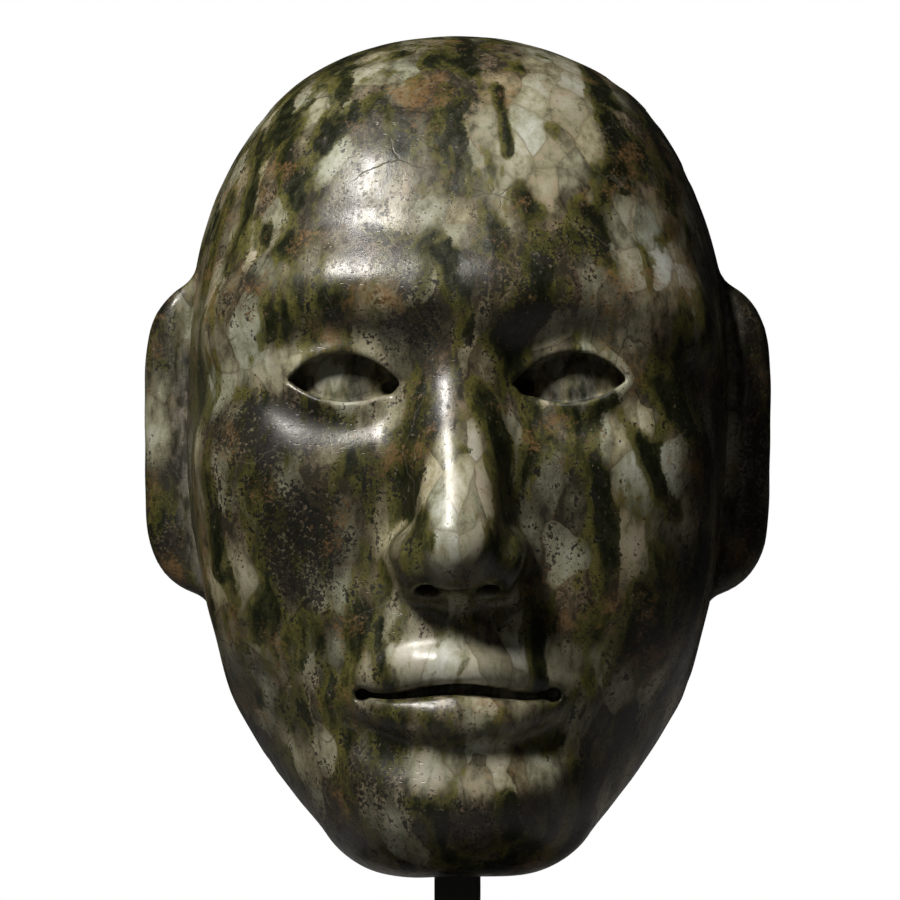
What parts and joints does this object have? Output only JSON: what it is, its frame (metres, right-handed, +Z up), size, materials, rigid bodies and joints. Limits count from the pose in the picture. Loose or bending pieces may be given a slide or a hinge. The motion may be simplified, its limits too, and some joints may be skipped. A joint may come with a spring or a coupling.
{
  "type": "jade mask on stand",
  "caption": "Polished greenstone face mask with long plain ear flanges and a hollowed back, hung on the yoke of a black square post in a rectangular black base.",
  "frame": {"origin": "centre of the base's underside", "axes": "+Z up, the mask faces -Y, and +X is to the right of someone who looks at its face"},
  "size_m": [0.1274, 0.105, 0.23],
  "materials": {
    "jade": "polished grey-green jade with olive veins, pale crystal patches and brown stains",
    "black_paint": "satin black paint",
    "black_base": "satin black paint"
  },
  "bodies": {
    "root": {"mask": "jade", "stand_post": "black_paint", "stand_base": "black_base"}
  },
  "joints": []
}
